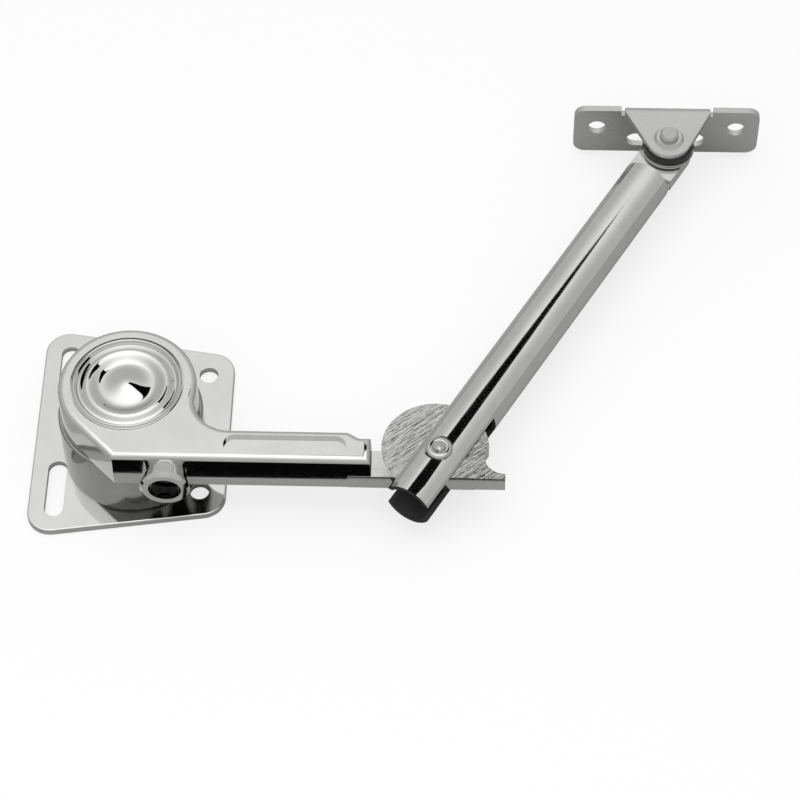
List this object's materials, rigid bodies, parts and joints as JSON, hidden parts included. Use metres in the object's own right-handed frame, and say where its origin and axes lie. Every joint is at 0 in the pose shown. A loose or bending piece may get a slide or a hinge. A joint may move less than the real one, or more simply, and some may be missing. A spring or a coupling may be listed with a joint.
{
  "type": "lid stay",
  "caption": "Soft-down lid stay: a damped arm on a fixing plate, a hinged round tube and an angled lid bracket.",
  "frame": {"origin": "midway between the fixing plate's two round holes, at its back face", "axes": "+X from the plate along the arm, +Y towards the lid bracket's face, +Z out of the plate along the damper axis"},
  "size_m": [0.2348, 0.1635, 0.029],
  "materials": {
    "plated_steel": "bright nickel plating on pressed steel",
    "plated_zinc": "bright nickel plating on a zinc casting",
    "pressed_cap": "bright nickel plating on a pressed cap",
    "plated_tube": "bright nickel plating on drawn tube",
    "plated_bracket": "bright nickel plating on bent sheet",
    "turned_steel": "turned steel",
    "screw_steel": "zinc-plated steel",
    "rivet_steel": "plated steel",
    "blackened_steel": "blackened steel",
    "black_nylon": "moulded nylon",
    "white_nylon": "moulded nylon",
    "seal_rubber": "nitrile rubber"
  },
  "bodies": {
    "base": {"base_plate": "plated_steel", "damper_drum": "plated_zinc", "rotor_shaft": "turned_steel", "shaft_seal": "seal_rubber", "thrust_washer": "white_nylon", "centre_screw": "screw_steel", "centre_washer": "screw_steel"},
    "arm": {"arm_casting": "plated_zinc", "chamber_cover": "turned_steel", "cover_seal": "seal_rubber", "hub_cap": "pressed_cap"},
    "valve": {"adjusting_screw": "blackened_steel", "valve_seal": "seal_rubber"},
    "tube": {"stay_tube": "plated_tube", "elbow_rivet": "rivet_steel", "tongue_washer_upper": "white_nylon", "tongue_washer_lower": "white_nylon"},
    "bracket": {"lid_bracket": "plated_bracket", "pivot_screw": "screw_steel", "pivot_spacer": "black_nylon", "pivot_washer": "rivet_steel"}
  },
  "joints": [
    {"name": "arm_swing", "type": "hinge", "parent": "base", "child": "arm", "pos_m": [-0.02275, 0, 0], "axis": [0, 0, 1], "range_deg": [-25, 95]},
    {"name": "valve_turn", "type": "hinge", "parent": "arm", "child": "valve", "pos_m": [-0.00885, -0.028, 0.021], "axis": [0, -1, 0], "range_deg": [0, 360]},
    {"name": "tube_swing", "type": "hinge", "parent": "arm", "child": "tube", "pos_m": [0.07545, -0.0205, 0.0172], "axis": [0, 0, 1], "range_deg": [-60, 86]},
    {"name": "bracket_swing", "type": "hinge", "parent": "tube", "child": "bracket", "pos_m": [0.1497, 0.10811, 0.0172], "axis": [0, 0, 1], "range_deg": [-110, 58]}
  ]
}
